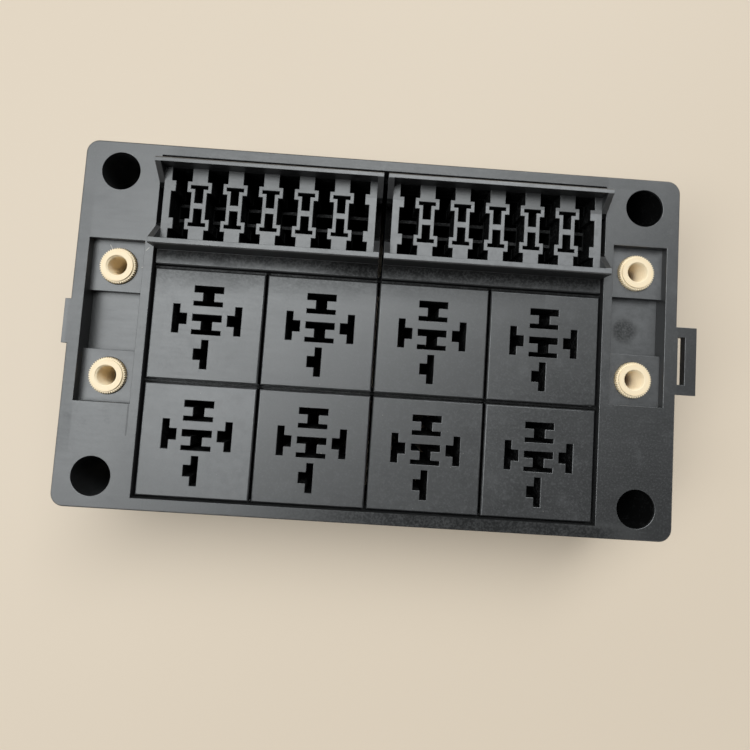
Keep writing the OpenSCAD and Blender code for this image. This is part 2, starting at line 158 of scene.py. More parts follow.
class Graph:
    """Node tree of one new material or world, emptied, with one method that adds any node."""

    def __init__(self, owner: bpy.types.Material | bpy.types.World) -> None:
        """Empties the owner's node tree.

        Args:
            owner: The new material or world.
        """
        owner.use_nodes = True
        self.owner = owner
        self.tree = owner.node_tree
        self.tree.nodes.clear()

    def add(
        self,
        kind: str,
        settings: dict[str, Any] | None = None,
        sockets: dict[str | int, Any] | None = None,
    ) -> bpy.types.Node:
        """Adds one node.

        Args:
            kind: The node's type.
            settings: Its properties, which are set first.
            sockets: Values or links of its inputs, by name or place.

        Returns:
            The new node.
        """
        node = self.tree.nodes.new(kind)
        for name, value in (settings or {}).items():
            setattr(node, name, value)
        for key, value in (sockets or {}).items():
            source = value.socket if isinstance(value, Signal) else value
            if isinstance(source, Socket):
                self.tree.links.new(source, node.inputs[key])
            else:
                node.inputs[key].default_value = source
        return node

    def math(self, operation: str, *values: Signal | float) -> Signal:
        """Adds one Math node.

        Args:
            operation: The node's operation.
            values: What its sockets take, in order.

        Returns:
            The node's result.
        """
        node = self.add("ShaderNodeMath", {"operation": operation}, dict(enumerate(values)))
        return Signal(self, node.outputs[0])

    def vector_math(self, operation: str, *values: Any) -> bpy.types.Node:
        """Adds one Vector Math node.

        Args:
            operation: The node's operation.
            values: What its sockets take, in order.

        Returns:
            The node, since its result is a vector or a value.
        """
        return self.add("ShaderNodeVectorMath", {"operation": operation}, dict(enumerate(values)))

    def axes(self, vector: Socket) -> tuple[Signal, ...]:
        """Splits a vector.

        Args:
            vector: The vector's socket.

        Returns:
            Its three parts.
        """
        node = self.add("ShaderNodeSeparateXYZ", None, {"Vector": vector})
        return tuple(Signal(self, node.outputs[name]) for name in "XYZ")

    def place(self, scale: Point = (1.0, 1.0, 1.0)) -> Socket:
        """Place on the piece.

        Args:
            scale: Stretch along each axis.

        Returns:
            The place in metres, times the stretch.
        """
        coordinates = self.add("ShaderNodeTexCoord").outputs["Object"]
        mapping = self.add("ShaderNodeMapping", None, {"Vector": coordinates, "Scale": scale})
        return mapping.outputs["Vector"]

    def attribute(self, name: str) -> bpy.types.Node:
        """Node that reads one of the piece's own attributes."""
        return self.add("ShaderNodeAttribute", {"attribute_name": name})

    def noise(self, vector: Socket, size: float, detail: float, rough: float) -> Signal:
        """Cloudy noise.

        Args:
            vector: Place at which it is read.
            size: Width of one cloud in metres.
            detail: Number of finer layers.
            rough: Weight of the finer layers.

        Returns:
            The noise, about 0.5 on average.
        """
        node = self.add(
            "ShaderNodeTexNoise",
            None,
            {"Vector": vector, "Scale": 1.0 / size, "Detail": detail, "Roughness": rough},
        )
        return Signal(self, node.outputs[0])

    def specks(self, vector: Socket, size: float, share: float, radius: float) -> Signal:
        """Round specks strewn over the surface.

        Args:
            vector: Place at which they are read.
            size: Width of the cell that may hold one speck, in metres.
            share: Share of the cells that hold one.
            radius: Radius of a speck, as a share of its cell.

        Returns:
            Mask that is 1 inside a speck.
        """
        cells = self.add("ShaderNodeTexVoronoi", None, {"Vector": vector, "Scale": 1.0 / size})
        chance = self.add("ShaderNodeSeparateColor", None, {"Color": cells.outputs["Color"]})
        held = Signal(self, chance.outputs[0]).step(share, share * CHANCE_EDGE)
        return held * Signal(self, cells.outputs["Distance"]).step(radius, radius * SPECK_EDGE)

    def upward(self) -> Signal:
        """Mask that is 1 where the surface faces up."""
        normal = self.add("ShaderNodeNewGeometry").outputs["Normal"]
        return self.axes(normal)[2].step(*FACING_UP)

    def blend(self, factor: Signal, low: Colour | Socket, high: Colour | Socket) -> Socket:
        """Mix of two colours.

        Args:
            factor: Share of the second colour.
            low: First colour.
            high: Second colour.

        Returns:
            The mixed colour's socket.
        """
        first, second = ((*c, 1.0) if isinstance(c, tuple) else c for c in (low, high))
        # The node's colour sockets share their names with others, so they go by their places
        node = self.add("ShaderNodeMix", {"data_type": "RGBA"}, {0: factor, 6: first, 7: second})
        return node.outputs[2]

    def bump(self, height: Signal, depth: float, under: Socket | None = None) -> Socket:
        """Normal of a surface raised by a height.

        Args:
            height: The height, from 0 to 1.
            depth: Metres that a height of 1 stands for.
            under: Normal of a coarser relief below it.

        Returns:
            The new normal's socket.
        """
        sockets: dict[str | int, Any] = {"Height": height, "Distance": depth, "Strength": 1.0}
        if under is not None:
            sockets["Normal"] = under
        return self.add("ShaderNodeBump", None, sockets).outputs["Normal"]

    def shader(self, **inputs: Any) -> Socket:
        """Principled BSDF whose inputs are given by name, spaces as underscores."""
        sockets = {name.replace("_", " "): value for name, value in inputs.items()}
        return self.add("ShaderNodeBsdfPrincipled", None, sockets).outputs["BSDF"]

    def surface(self, shader: Socket) -> None:
        """Ends the material with a shader."""
        self.add("ShaderNodeOutputMaterial", None, {"Surface": shader})


@dataclass(frozen=True)
class Mottle:
    """Cloudy pattern on a surface.

    It rises between low and high where it serves as a mask. tint and dulls say how far it sways the colour
    and the roughness.
    """

    size: float
    detail: float
    rough: float
    low: float = 0.0
    high: float = 1.0
    tint: float = 0.0
    dulls: float = 0.0

    def values(self, graph: Graph, place: Socket) -> Signal:
        """The pattern itself, about 0.5 on average."""
        return graph.noise(place, self.size, self.detail, self.rough)

    def mask(self, graph: Graph, place: Socket) -> Signal:
        """The pattern as a mask from 0 to 1."""
        return self.values(graph, place).step(self.low, self.high)


class Grain(Enum):
    """How the steel of a mould was finished: the size and the depth of its grain."""

    SPARK_ERODED = (0.00026, 0.000010)
    FINE_ETCHED = (0.00015, 0.000005)

    def normal(self, graph: Graph, place: Socket) -> Socket:
        """Relief that the steel leaves on a moulding.

        Args:
            graph: Material that gets the relief.
            place: Place on the piece.

        Returns:
            Normal of fine pebbles with wider pits among them.
        """
        size, depth = self.value
        pebbles = Mottle(size, 1.0, 0.6).values(graph, place)
        pits = Mottle(size * PIT_WIDTH, 2.0, 0.5).values(graph, place)
        return graph.bump(pebbles * (1.0 - PIT_SHARE) + pits * PIT_SHARE, depth)


@dataclass(frozen=True)
class PinMark:
    """Faint round mark that an ejector pin left on a flat face."""

    centre: tuple[float, float]
    level: float
    radius: float
    soft: float
    amount: float

    def mask(self, graph: Graph) -> Signal:
        """Mask of the mark.

        Args:
            graph: Material that gets the mark.

        Returns:
            The amount inside the mark, on the faces near its level.
        """
        away = graph.vector_math("DISTANCE", graph.place(), (*self.centre, self.level))
        edge = self.radius * self.soft
        inside = Signal(graph, away.outputs["Value"]).step(self.radius + edge, self.radius - edge)
        return inside * self.amount


@dataclass(frozen=True)
class Line:
    """Thin straight line on a surface, such as a fibre that lies there or a mould's parting line."""

    start: Point
    end: Point
    width: float

    def mask(self, graph: Graph) -> Signal:
        """Mask of the line.

        Args:
            graph: Material that gets the line.

        Returns:
            1 on the line, with soft ends.
        """
        run = Vector(self.end) - Vector(self.start)
        offset = graph.vector_math("SUBTRACT", graph.place(), self.start).outputs["Vector"]
        along = graph.vector_math("DOT_PRODUCT", offset, run / run.length_squared).outputs["Value"]
        share = graph.add("ShaderNodeClamp", None, {"Value": along}).outputs["Result"]
        foot = graph.add(
            "ShaderNodeVectorMath", {"operation": "SCALE"}, {"Vector": run, "Scale": share}
        ).outputs["Vector"]
        away = graph.vector_math("DISTANCE", offset, foot).outputs["Value"]
        outer, inner = (self.width * edge for edge in LINE_EDGE)
        return Signal(graph, away).step(outer, inner)


class Run(Enum):
    """Axis along which a patch changes, as its place in a point's coordinates."""

    ALONG = 0
    ACROSS = 1


@dataclass(frozen=True)
class BoxPatch:
    """Box of a moulding where wear, grime and painted shade change its tone, with the amount of change at
    its two ends.
    """

    x: Span
    y: Span
    z: Span
    start: float
    end: float
    run: Run = Run.ACROSS
    fades: Point = (PATCH_FADE, PATCH_FADE, PATCH_FADE)

    def mask(self, graph: Graph) -> Signal:
        """Mask of the change.

        Args:
            graph: Material that gets the patch.

        Returns:
            0 outside the box, going over from the amount at its start to that at its end.
        """
        places = graph.axes(graph.place())
        spans = (self.x, self.y, self.z)
        inside = math.prod(
            place.step(low - fade, low) * place.step(high + fade, high)
            for place, (low, high), fade in zip(places, spans, self.fades)
        )
        axis = self.run.value
        rise = places[axis].step(*spans[axis])
        return inside * rise.between(self.start, self.end)


@dataclass(frozen=True)
class Layer:
    """What lies on a surface, or shade painted on it: where, its colour, how well that covers, and how much
    it dulls the gloss.
    """

    mask: Signal
    colour: Colour
    cover: float = 1.0
    dulls: float = 0.0


@dataclass(frozen=True)
class MouldedPlastic:
    """Charcoal plastic with a moulded grain, satin gloss, rubbed edges, scuffs, grime, painted shade in its
    recesses and gaps, and a little dust.
    """

    name: str
    roughness: float
    grain: Grain
    scuff: float
    dust: float
    marks: tuple[PinMark | Line, ...] = ()
    fibres: tuple[Line, ...] = ()
    # Patches of grime and of painted shade in recesses, gaps and under rims
    grime_and_shade: tuple[BoxPatch | PinMark, ...] = ()
    worn: tuple[BoxPatch, ...] = ()

    colour: Colour = (0.010, 0.0102, 0.0105)
    haze_colour: Colour = (0.06, 0.061, 0.064)
    rubbed_colour: Colour = (0.105, 0.106, 0.11)
    worn_colour: Colour = (0.14, 0.141, 0.145)
    # Colour of grime and of painted shade, also that of the black matt sheet
    grime_and_shade_colour: Colour = (0.006, 0.006, 0.006)
    dust_colour: Colour = (0.42, 0.40, 0.36)

    clouds: Mottle = Mottle(0.019, 3.0, 0.55, tint=0.5, dulls=0.12)
    streaks: Mottle = Mottle(0.0009, 2.0, 0.6, tint=0.35, dulls=0.08)
    streak_stretch: Point = (0.12, 1.0, 1.0)
    flecks: Mottle = Mottle(0.0005, 2.0, 0.65, 0.46, 0.74, tint=0.30, dulls=0.07)
    fleck_mean: float = 0.3
    scuffs: Mottle = Mottle(0.0075, 5.0, 0.7, 0.53, 0.72, tint=0.4, dulls=0.10)
    rubbing: Mottle = Mottle(0.0035, 3.0, 0.6, 0.28, 0.66)
    baring: Mottle = Mottle(0.0022, 4.0, 0.65, 0.30, 0.62)
    bare_least: float = 0.6
    smears: Mottle = Mottle(0.0028, 4.0, 0.6, 0.68, 0.42, tint=0.2)
    spots: Mottle = Mottle(0.0006, 2.0, 0.6, 0.62, 0.40, tint=0.4)
    grime_and_shade_least: float = 0.6
    dust_cells: tuple[Span, ...] = ((0.0042, 0.055), (0.0016, 0.07))

    tint_gains: Span = (0.78, 1.22)
    mark_depth: float = 0.00004
    mark_dulls: float = 0.05
    refraction: float = 1.85
    shade_film_share: float = 0.42

    def grime_and_shade_amount(self, graph: Graph, place: Socket) -> Signal:
        """Amount of grime and painted shade.

        Args:
            graph: Material that gets it.
            place: Place on the piece.

        Returns:
            Sum of the patches of grime and painted shade, made uneven by smears and spots.
        """
        smears = self.smears.mask(graph, place) * self.smears.tint
        spots = self.spots.mask(graph, place) * self.spots.tint
        return sum(patch.mask(graph) for patch in self.grime_and_shade) * (smears + spots + self.grime_and_shade_least)

    def layers(self, graph: Graph, place: Socket, haze: Signal, grime_and_shade: Signal) -> list[Layer]:
        """What lies on the plastic, with painted shade in the grime layer.

        Args:
            graph: Material that gets the layers.
            place: Place on the piece.
            haze: Mask of flecks and scuffs.
            grime_and_shade: Amount of grime and painted shade.

        Returns:
            The layers, from the lowest to the topmost.
        """
        upward = graph.upward()
        edges = Signal(graph, graph.attribute(RUBBED).outputs["Fac"])
        rubbed = edges * self.rubbing.mask(graph, place)
        grains = sum(graph.specks(place, size, self.dust, radius) for size, radius in self.dust_cells)
        dust = grains.step(0.0, 1.0) * upward
        bare = upward * self.baring.mask(graph, place).between(self.bare_least, 1.0)
        return [
            Layer(haze, self.haze_colour),
            Layer(rubbed, self.rubbed_colour, cover=0.55, dulls=-0.06),
            Layer(dust, self.dust_colour, cover=0.5, dulls=0.25),
            *(Layer(patch.mask(graph) * bare, self.worn_colour) for patch in self.worn),
            # Grime together with painted shade in recesses, gaps and under rims
            Layer(grime_and_shade, self.grime_and_shade_colour, cover=0.7, dulls=0.40),
            *(Layer(fibre.mask(graph), self.dust_colour, cover=0.8, dulls=0.3) for fibre in self.fibres),
        ]

    def material(self) -> bpy.types.Material:
        """Builds the finish.

        Returns:
            The material, satin plastic under a black matt sheet of painted shade where grime and painted
            shade are thick.
        """
        graph = Graph(bpy.data.materials.new(self.name))
        place = graph.place()
        clouds = self.clouds.values(graph, place)
        streaks = self.streaks.values(graph, graph.place(self.streak_stretch))
        flecks = self.flecks.mask(graph, place)
        scuffs = self.scuffs.mask(graph, place) * self.scuff
        # Grime with painted shade in recesses, gaps and under rims, which also lays the black matt sheet
        grime_and_shade = self.grime_and_shade_amount(graph, place)

        dark, light = (tuple(c * gain for c in self.colour) for gain in self.tint_gains)
        sway = clouds.swing(self.clouds.tint) + streaks.swing(self.streaks.tint)
        colour = graph.blend(sway + 0.5, dark, light)
        roughness = self.roughness + clouds.swing(self.clouds.dulls) + streaks.swing(self.streaks.dulls)
        roughness = roughness + scuffs * self.scuffs.dulls
        roughness = roughness + (flecks - self.fleck_mean) * self.flecks.dulls
        haze = flecks * self.flecks.tint + scuffs * self.scuffs.tint
        for layer in self.layers(graph, place, haze, grime_and_shade):
            colour = graph.blend(layer.mask * layer.cover, colour, layer.colour)
            roughness = roughness + layer.mask * layer.dulls
        normal = self.grain.normal(graph, place)
        for mark in self.marks:
            mask = mark.mask(graph)
            normal = graph.bump(mask, self.mark_depth, under=normal)
            roughness = roughness + mask * self.mark_dulls

        plastic = graph.shader(
            Base_Color=colour, Roughness=roughness, Normal=normal, IOR=self.refraction
        )
        # The black sheet is painted shade; an index of 1 leaves it with no gloss of its own
        shade_film = graph.shader(Base_Color=(*self.grime_and_shade_colour, 1.0), Roughness=1.0, IOR=1.0)
        mixed = graph.add("ShaderNodeMixShader", None, {0: grime_and_shade * self.shade_film_share, 1: plastic, 2: shade_film})
        graph.surface(mixed.outputs["Shader"])
        return graph.owner


@dataclass(frozen=True)
class TurnedBrass:
    """Pale dull brass with the fine rings of a lathe on its flat faces, its sides and bore walls a lighter
    gold that is partly painted light, and painted shade deep in its bore.
    """

    name: str
    face_colour: Colour
    # Partly the brass's colour, partly painted light on its shaded sides and bore walls
    side_and_painted_light_colour: Colour
    dull_colour: Colour
    bore_shade_colour: Colour
    roughness: float
    ring_pitch: float

    wobble: Mottle = Mottle(0.0015, 2.0, 0.5)
    wobble_turn: float = 3.0
    clouds: Mottle = Mottle(0.0026, 4.0, 0.65, 0.42, 0.74, dulls=0.16)
    grains: Mottle = Mottle(0.00018, 2.0, 0.6, dulls=0.10)
    bands: Mottle = Mottle(0.0007, 2.0, 0.6, 0.40, 0.64, tint=0.45)
    rim_radii: Span = (0.0029, 0.0034)
    bore_radii: Span = (0.0034, 0.0031)
    tarnish_covers: Span = (0.3, 0.15)
    tarnish_dulls: float = 0.08
    bore_shade_depths: Span = (-0.0062, -0.0105)
    bore_shade_fray: float = 0.002
    bore_shade_side: Span = (-0.0006, 0.0010)
    bore_shade_least: float = 0.15
    bore_shade_cover: float = 0.9
    ring_share: float = 0.6
    relief_depth: float = 0.000006
    metallic: float = 0.06

    def material(self) -> bpy.types.Material:
        """Builds the finish.

        Returns:
            The material, which reads each point's place from the top of its insert's axis.
        """
        graph = Graph(bpy.data.materials.new(self.name))
        place = graph.attribute(LATHE).outputs["Vector"]
        x, y, z = graph.axes(place)
        flat = graph.add("ShaderNodeCombineXYZ", None, {"X": x, "Y": y}).outputs["Vector"]
        radius = Signal(graph, graph.vector_math("LENGTH", flat).outputs["Value"])
        across = graph.add("ShaderNodeCombineXYZ", None, {"X": radius}).outputs["Vector"]
        upward = graph.upward()
        clouds = self.clouds.values(graph, place)
        grains = self.grains.values(graph, place)
        wobble = self.wobble.values(graph, place) * self.wobble_turn
        wave = graph.math("SINE", radius * (2.0 * math.pi / self.ring_pitch) + wobble)
        rings = (wave * 0.5 + 0.5) * upward

        tarnish = clouds.step(self.clouds.low, self.clouds.high) * radius.step(*self.rim_radii)
        bands = self.bands.mask(graph, across) * upward
        # Painted shade deep in the bore, where light does not reach, frayed by the grains and much weaker
        # towards -x
        deep = (z + grains.swing(self.bore_shade_fray)).step(*self.bore_shade_depths)
        sided = x.step(*self.bore_shade_side).between(self.bore_shade_least, 1.0)
        bore_shade = radius.step(*self.bore_radii) * deep * sided
        # Sides and bore walls take a lighter gold than the faces, partly brass and partly painted light on
        # these shaded faces
        colour = graph.blend(upward, self.side_and_painted_light_colour, self.face_colour)
        colour = graph.blend(tarnish * upward.between(*self.tarnish_covers), colour, self.dull_colour)
        colour = graph.blend(bands * self.bands.tint, colour, self.dull_colour)
        colour = graph.blend(bore_shade * self.bore_shade_cover, colour, self.bore_shade_colour)

        roughness = self.roughness + clouds.swing(self.clouds.dulls) + grains.swing(self.grains.dulls)
        roughness = roughness + tarnish * self.tarnish_dulls
        relief = rings * self.ring_share + grains * (1.0 - self.ring_share)
        normal = graph.bump(relief, self.relief_depth)
        graph.surface(
            graph.shader(Base_Color=colour, Roughness=roughness, Metallic=self.metallic, Normal=normal)
        )
        return graph.owner


@dataclass(frozen=True)
class PaleFloor:
    """Plain pale matt floor."""

    name: str
    colour: Colour
    roughness: float
    clouds: Mottle = Mottle(0.25, 2.0, 0.5)
    tint_gains: Span = (0.98, 1.02)

    def material(self) -> bpy.types.Material:
        """Builds the finish.

        Returns:
            The material.
        """
        graph = Graph(bpy.data.materials.new(self.name))
        clouds = self.clouds.values(graph, graph.place())
        dark, light = (tuple(c * gain for c in self.colour) for gain in self.tint_gains)
        graph.surface(graph.shader(Base_Color=graph.blend(clouds, dark, light), Roughness=self.roughness))
        return graph.owner


def weld(shape: bmesh.types.BMesh) -> None:
    """Joins the loose triangles of a copied mesh and clears the edges inside its flat faces.

    Args:
        shape: Mesh to work on.
    """
    bmesh.ops.remove_doubles(shape, verts=shape.verts, dist=WELD)
    bmesh.ops.dissolve_limit(
        shape, angle_limit=math.radians(FLAT_WITHIN), verts=shape.verts, edges=shape.edges, delimit=set()
    )


def ease_edges(shape: bmesh.types.BMesh, radius: float) -> None:
    """Rounds the sharp outer edges, and marks the new faces as rubbed.

    Args:
        shape: Mesh to work on.
        radius: Width of the rounding.
    """
    rubbed = shape.faces.layers.float.new(RUBBED)
    limit = math.radians(SHARP_FROM)
    sharp = [
        edge
        for edge in shape.edges
        if edge.is_manifold and edge.is_convex and edge.calc_face_angle() > limit
    ]
    eased = bmesh.ops.bevel(
        shape,
        geom=sharp,
        offset=radius,
        offset_type="OFFSET",
        segments=2,
        profile=0.5,
        affect="EDGES",
        material=-1,
        clamp_overlap=False,
        loop_slide=True,
    )
    for face in eased["faces"]:
        face[rubbed] = 1.0


def crease(shape: bmesh.types.BMesh) -> None:
    """Lets curved faces shade as one, with a break at sharp edges and beside each eased edge.

    Args:
        shape: Mesh to work on.
    """
    limit = math.radians(SMOOTH_TO)
    rubbed = shape.faces.layers.float.get(RUBBED)
    for face in shape.faces:
        face.smooth = True
    for edge in shape.edges:
        sides = edge.link_faces
        whole = len(sides) == 2 and edge.calc_face_angle() < limit
        edge.smooth = whole and (rubbed is None or sides[0][rubbed] == sides[1][rubbed])


def piece_from(shape: bmesh.types.BMesh, name: str) -> bpy.types.Object:
    """Makes an object of a finished mesh.

    Args:
        shape: The mesh, which is freed.
        name: Name of the piece.

    Returns:
        The new object, linked to the scene.
    """
    crease(shape)
    mesh = bpy.data.meshes.new(name)
    shape.to_mesh(mesh)
    shape.free()
    if "custom_normal" in mesh.attributes:
        mesh.attributes.remove(mesh.attributes["custom_normal"])
    mesh.materials.clear()
    piece = bpy.data.objects.new(name, mesh)
    bpy.context.scene.collection.objects.link(piece)
    return piece


def settle(piece: bpy.types.Object, node: str) -> None:
    """Lets a piece stand for its CAD node.

    Args:
        piece: The finished piece.
        node: The node that it replaces.
    """
    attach(piece, BODY)
    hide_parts(node)


@dataclass
class Mouldings:
    """Plastic mouldings of one kind, with the small edge radius that a mould leaves."""

    nodes: tuple[str, ...]
    slot: str
    finish: MouldedPlastic
    edge_radius: float = 0.0001
    pieces: list[bpy.types.Object] = field(default_factory=list)

    def build(self) -> None:
        """Copies each node with its edges eased."""
        for node in self.nodes:
            shape = bmesh.new()
            shape.from_mesh(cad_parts[node].data)
            weld(shape)
            ease_edges(shape, self.edge_radius)
            piece = piece_from(shape, f"{node}_moulding")
            settle(piece, node)
            self.pieces.append(piece)

    def dress(self) -> None:
        """Gives every piece the finish."""
        material = self.finish.material()
        for piece in self.pieces:
            piece.data.materials.append(material)


@dataclass
class BrassInserts:
    """Knurled inserts with a cut thread, each turned on its own axis."""

    nodes: tuple[str, ...]
    slot: str
    finish: TurnedBrass
    thread_pitch: float = 0.001
    thread_radius: float = 0.003
    core_radius: float = 0.00255
    crest: Span = (0.42, 0.58)
    turns_below: int = 2
    turns_above: int = 1
    turn_steps: int = 40
    tooth_radius: float = 0.00004
    pieces: list[bpy.types.Object] = field(default_factory=list)

    def tap(self, centre: Vector, low: float, high: float) -> bpy.types.Object:
        """Solid screw that cuts the thread.

        Args:
            centre: Point on the axis.
            low: Level below which the screw starts.
            high: Level above which it ends.

        Returns:
            The screw as an object.
        """
        pitch = self.thread_pitch
        turns = math.ceil((high - low) / pitch) + self.turns_below + self.turns_above
        foot = low - self.turns_below * pitch
        shape = bmesh.new()
        profile = [
            shape.verts.new((self.core_radius, 0.0, foot)),
            *(shape.verts.new((self.thread_radius, 0.0, foot + pitch * share)) for share in self.crest),
            shape.verts.new((self.core_radius, 0.0, foot + pitch)),
        ]
        edges = [shape.edges.new(pair) for pair in zip(profile, profile[1:])]
        bmesh.ops.spin(
            shape,
            geom=[*profile, *edges],
            cent=(0.0, 0.0, 0.0),
            axis=(0.0, 0.0, 1.0),
            dvec=(0.0, 0.0, pitch / self.turn_steps),
            angle=2.0 * math.pi * turns,
            steps=self.turn_steps * turns,
            use_merge=False,
        )
        bmesh.ops.remove_doubles(shape, verts=shape.verts, dist=WELD)
        bmesh.ops.holes_fill(shape, edges=[e for e in shape.edges if e.is_boundary], sides=0)
        bmesh.ops.translate(shape, verts=shape.verts, vec=(centre.x, centre.y, 0.0))
        bmesh.ops.recalc_face_normals(shape, faces=shape.faces)
        return piece_from(shape, "thread_tap")

    def threaded(self, node: str) -> bpy.types.Object:
        """Copies one insert's node, eases its teeth and cuts its thread.

        Args:
            node: The insert's node.

        Returns:
            The finished insert.
        """
        low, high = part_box(node)
        centre = (low + high) / 2.0
        shape = bmesh.new()
        shape.from_mesh(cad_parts[node].data)
        weld(shape)
        ease_edges(shape, self.tooth_radius)
        blank = piece_from(shape, "insert_blank")
        tap = self.tap(centre, low.z, high.z)
        cut = blank.modifiers.new("thread", "BOOLEAN")
        cut.operation = "DIFFERENCE"
        cut.solver = "EXACT"
        cut.object = tap
        graph = bpy.context.evaluated_depsgraph_get()
        shape = bmesh.new()
        shape.from_mesh(blank.evaluated_get(graph).to_mesh())
        piece = piece_from(shape, f"{node}_brass")
        for spent in (blank, tap):
            bpy.data.objects.remove(spent)
        self.mark_axis(piece, Vector((centre.x, centre.y, high.z)))
        return piece

    def mark_axis(self, piece: bpy.types.Object, top: Vector) -> None:
        """Stores each point's place from the top of the insert's axis."""
        own = piece.data.attributes.new(LATHE, "FLOAT_VECTOR", "POINT")
        own.data.foreach_set("vector", [c for v in piece.data.vertices for c in v.co - top])

    def build(self) -> None:
        """Makes the four inserts."""
        for node in self.nodes:
            piece = self.threaded(node)
            settle(piece, node)
            self.pieces.append(piece)

    def dress(self) -> None:
        """Gives every insert the brass finish."""
        material = self.finish.material()
        for piece in self.pieces:
            piece.data.materials.append(material)


@dataclass(frozen=True)
class SoftBox:
    """Long soft lamp that points at the middle of the box, with its length level."""

    name: str
    turn: float
    tilt: float
    distance: float
    length: float
    width: float
    radiance: float
    colour: Colour

    def build(self, aim: Vector) -> None:
        """Hangs the lamp.

        Args:
            aim: Point that it faces.
        """
        turn, tilt = math.radians(self.turn), math.radians(self.tilt)
        way = Vector((math.cos(turn) * math.sin(tilt), math.sin(turn) * math.sin(tilt), math.cos(tilt)))
        along = Vector((-math.sin(turn), math.cos(turn), 0.0))
        light = bpy.data.lights.new(self.name, "AREA")
        light.shape = "RECTANGLE"
        light.size, light.size_y = self.length, self.width
        light.energy = self.radiance * math.pi * self.length * self.width
        light.color = self.colour
        lamp = bpy.data.objects.new(self.name, light)
        lamp.location = aim + way * self.distance
        lamp.rotation_euler = Matrix((along, way.cross(along), way)).transposed().to_euler()
        bpy.context.scene.collection.objects.link(lamp)


@dataclass
class Studio:
    """Pale floor, soft light and the camera above the box, whose turns are in radians."""

    floor_finish: PaleFloor
    lamps: tuple[SoftBox, ...]
    overhead: Colour
    horizon: Colour
    sky_rise: Span = (0.05, 0.75)
    floor_radius: float = 6.0
    floor_sides: int = 64
    aim: Vector = field(default_factory=lambda: Vector((0.0, 0.0, FLANGE_TOP)))
    camera_place: Point = (-0.001415, -0.012476, 0.183762)
    camera_turn: Point = (0.07022, -0.02382, 0.06483)
    sensor: float = 36.0
    lens: float = 25.92
    shift: tuple[float, float] = (-0.00714, -0.03866)
    near: float = 0.01

    def build_floor(self) -> None:
        """Lays the floor under the box."""
        shape = bmesh.new()
        bmesh.ops.create_circle(shape, cap_ends=True, radius=self.floor_radius, segments=self.floor_sides)
        floor = piece_from(shape, "floor")
        floor.data.materials.append(self.floor_finish.material())

    def build_light(self) -> None:
        """Hangs the lamps and colours the room, paler towards the horizon."""
        for lamp in self.lamps:
            lamp.build(self.aim)
        world = bpy.data.worlds.new("room")
        bpy.context.scene.world = world
        graph = Graph(world)
        way = graph.add("ShaderNodeTexCoord").outputs["Generated"]
        rise = graph.axes(way)[2].step(*self.sky_rise)
        colour = graph.blend(rise, self.horizon, self.overhead)
        room = graph.add("ShaderNodeBackground", None, {"Color": colour, "Strength": 1.0})
        graph.add("ShaderNodeOutputWorld", None, {"Surface": room.outputs["Background"]})

    def build_camera(self) -> None:
        """Sets the camera nearly straight above the box."""
        camera = bpy.data.cameras.new("camera")
        camera.sensor_width = self.sensor
        camera.lens = self.lens
        camera.shift_x, camera.shift_y = self.shift
        camera.clip_start = self.near
        holder = bpy.data.objects.new("camera", camera)
        holder.location = self.camera_place
        holder.rotation_euler = self.camera_turn
        bpy.context.scene.collection.objects.link(holder)
        bpy.context.scene.camera = holder

    def build(self) -> None:
        """Sets the camera, the light and the floor."""
        self.build_camera()
        self.build_light()
        self.build_floor()


